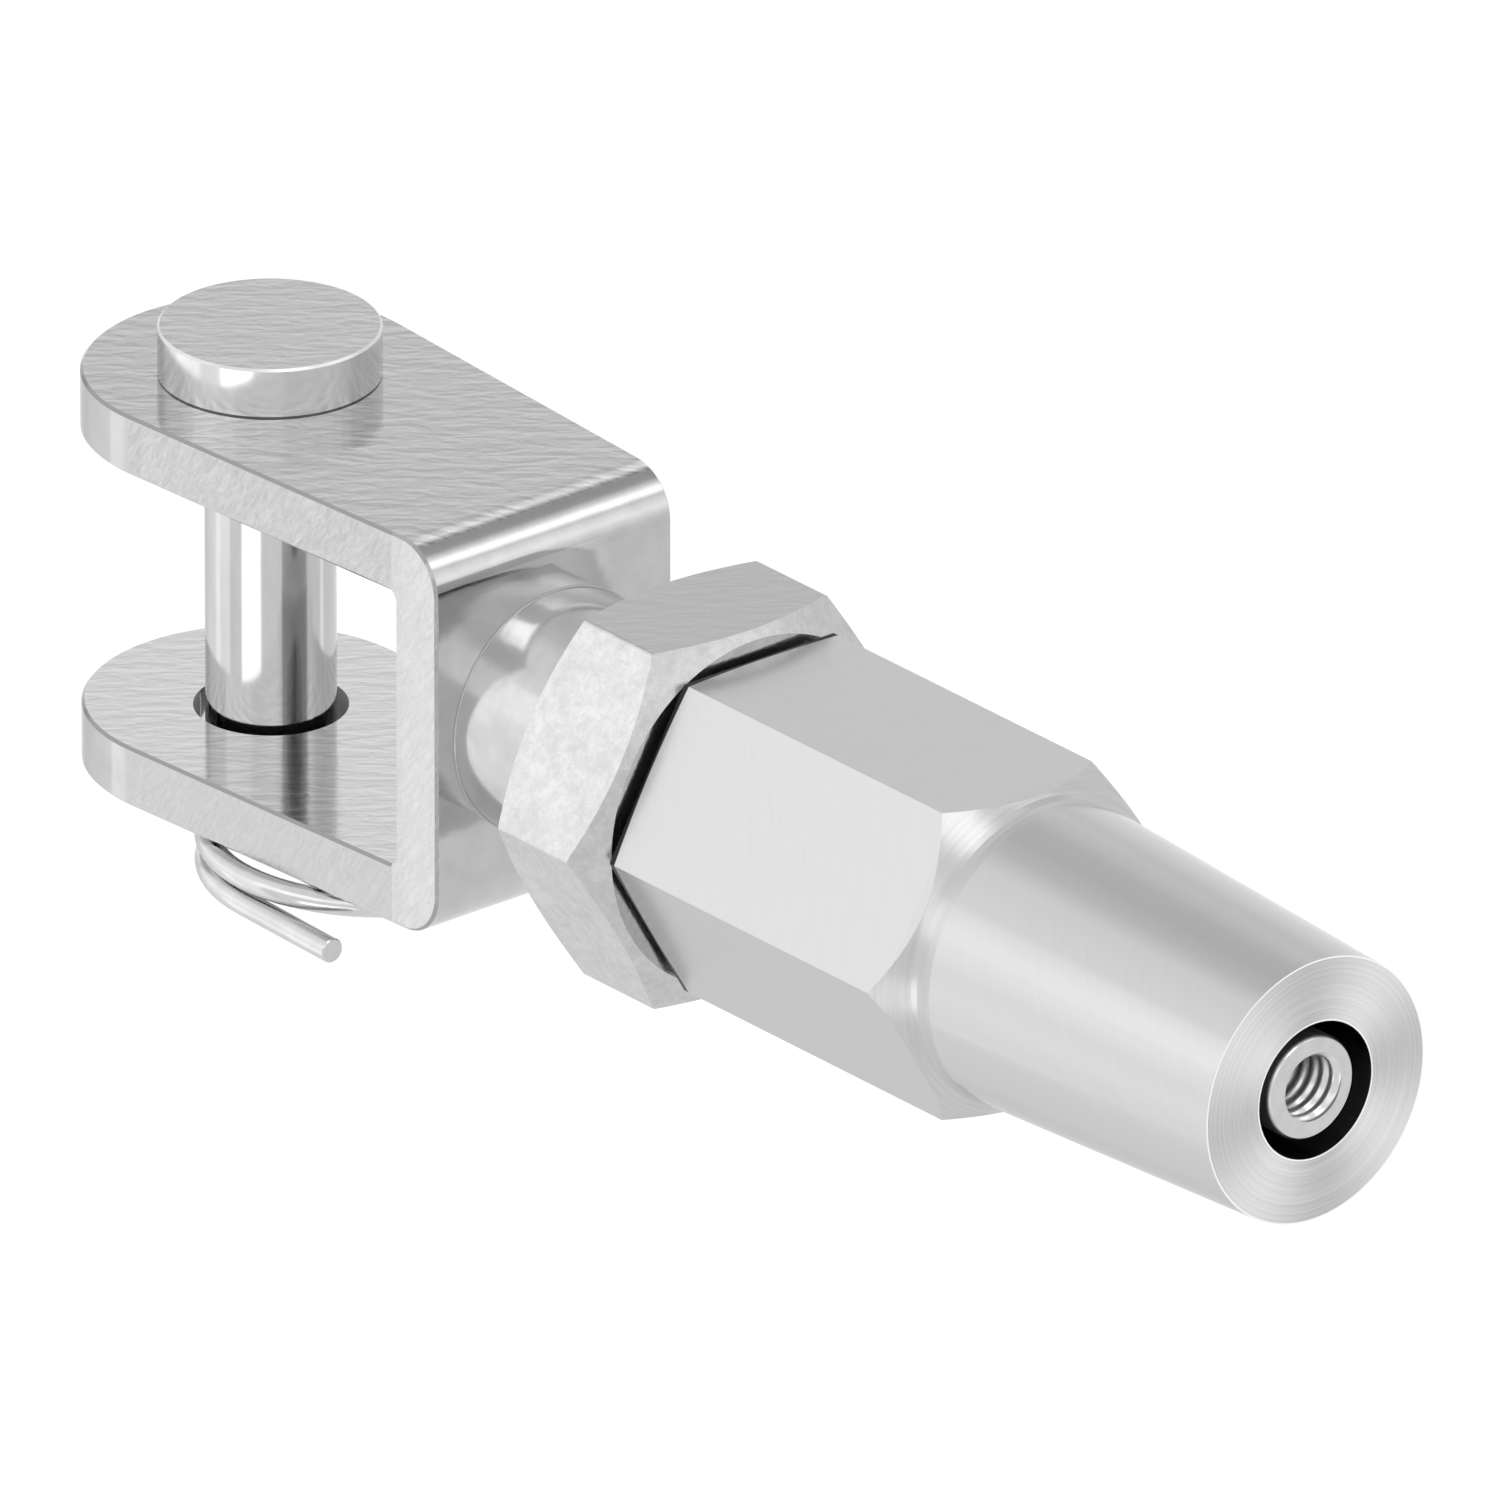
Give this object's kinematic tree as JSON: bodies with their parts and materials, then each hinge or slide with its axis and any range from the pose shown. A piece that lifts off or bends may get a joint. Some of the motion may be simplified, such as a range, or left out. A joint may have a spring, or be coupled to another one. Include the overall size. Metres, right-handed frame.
{
  "type": "wire rope fork terminal",
  "caption": "Stainless fork terminal for wire rope: a folded fork with clevis pin and split ring, a threaded stud, a lock nut and a hex socket that closes a grip collet on the rope.",
  "frame": {"origin": "where the clevis pin's axis crosses the terminal's axis, halfway between the fork's ears", "axes": "+X along the terminal, from the pin towards the mouth where the rope goes in; +Z along the pin, towards its head"},
  "size_m": [0.0892, 0.022, 0.0273],
  "materials": {
    "strip_steel": "rolled and lightly polished stainless strip",
    "turned_steel": "turned and milled stainless bar",
    "blasted_steel": "matt blasted stainless steel",
    "wire_steel": "drawn and ground stainless steel"
  },
  "bodies": {
    "fork": {"fork": "strip_steel", "stud": "wire_steel"},
    "clevis_pin": {"clevis_pin": "wire_steel"},
    "split_ring": {"split_ring": "wire_steel"},
    "lock_nut": {"lock_nut": "blasted_steel"},
    "socket_body": {"socket_body": "turned_steel"},
    "grip_collet": {"grip_collet": "turned_steel"}
  },
  "joints": [
    {"name": "pin_spin", "type": "hinge", "parent": "fork", "child": "clevis_pin", "pos_m": [0, 0, 0], "axis": [0, 0, 1], "continuous": true},
    {"name": "ring_swing", "type": "hinge", "parent": "clevis_pin", "child": "split_ring", "pos_m": [0.00032, 0, -0.01264], "axis": [0, 1, 0], "range_deg": [0, 180]},
    {"name": "lock_nut_turn", "type": "hinge", "parent": "fork", "child": "lock_nut", "pos_m": [0.033, 0, 0], "axis": [1, 0, 0], "range_deg": [-28, 102]},
    {"name": "socket_turn", "type": "hinge", "parent": "fork", "child": "socket_body", "pos_m": [0.058, 0, 0], "axis": [1, 0, 0], "range_deg": [-102, 0]},
    {"name": "collet_slide", "type": "slide", "parent": "socket_body", "child": "grip_collet", "axis": [1, 0, 0], "range_m": [0, 0.00036]}
  ],
  "couplings": [
    {"joint": "collet_slide", "follows": "socket_turn", "m_per_rad": -0.00020213}
  ]
}
